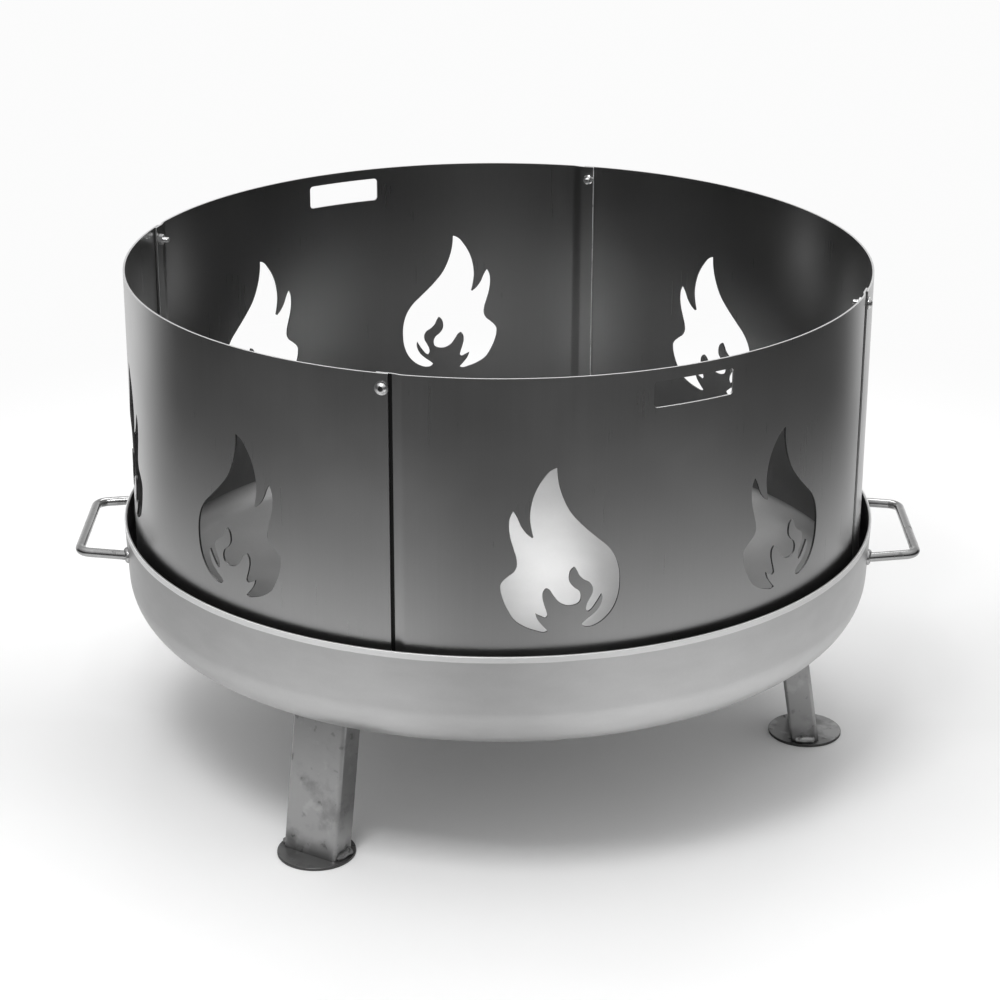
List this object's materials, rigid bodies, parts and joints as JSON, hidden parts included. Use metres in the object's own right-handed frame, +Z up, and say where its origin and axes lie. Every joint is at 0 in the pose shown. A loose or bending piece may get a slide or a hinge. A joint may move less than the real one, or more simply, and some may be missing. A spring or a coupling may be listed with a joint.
{
  "type": "fire basket with spark screen",
  "caption": "Round dished steel bowl on short splayed legs with side handles, holding a lift-out cylindrical spark screen of lapped, bolted sheets with flame-shaped openings.",
  "frame": {"origin": "on the ground under the middle of the bowl", "axes": "+Z up; +X and -X through the two handles; the front, seen in the picture, faces -Y"},
  "size_m": [0.898, 0.8, 0.5429],
  "materials": {
    "bowl_steel": "bare rolled steel, satin, with a brighter ground band under the rim",
    "handle_steel": "bare round bar, satin",
    "leg_steel": "bare tube with faint stains",
    "plate_steel": "bare plate with dark mill skin, cut edges bright",
    "screen_steel": "bare rolled sheet, satin, with faint mill marks, cut edges bright",
    "zinc": "bright zinc plating"
  },
  "bodies": {
    "bowl": {"fire_bowl": "bowl_steel", "handle_left": "handle_steel", "handle_right": "handle_steel", "leg_front": "leg_steel", "leg_right": "leg_steel", "leg_rear": "leg_steel", "foot_plate_front": "plate_steel", "foot_plate_right": "plate_steel", "foot_plate_rear": "plate_steel"},
    "screen": {"screen_panel_plain_left": "screen_steel", "screen_panel_plain_right": "screen_steel", "screen_panel_stepped_back": "screen_steel", "screen_panel_stepped_front": "screen_steel", "lap_bolt_front_bottom": "zinc", "lap_bolt_front_top": "zinc", "lap_bolt_right_bottom": "zinc", "lap_bolt_right_top": "zinc", "lap_bolt_back_bottom": "zinc", "lap_bolt_back_top": "zinc", "lap_bolt_left_bottom": "zinc", "lap_bolt_left_top": "zinc", "lap_nut_front_bottom": "zinc", "lap_nut_front_top": "zinc", "lap_nut_right_bottom": "zinc", "lap_nut_right_top": "zinc", "lap_nut_back_bottom": "zinc", "lap_nut_back_top": "zinc", "lap_nut_left_bottom": "zinc", "lap_nut_left_top": "zinc"}
  },
  "joints": [
    {"name": "screen_lift", "type": "slide", "parent": "bowl", "child": "screen", "axis": [0, 0, 1], "range_m": [0, 0.3]}
  ]
}
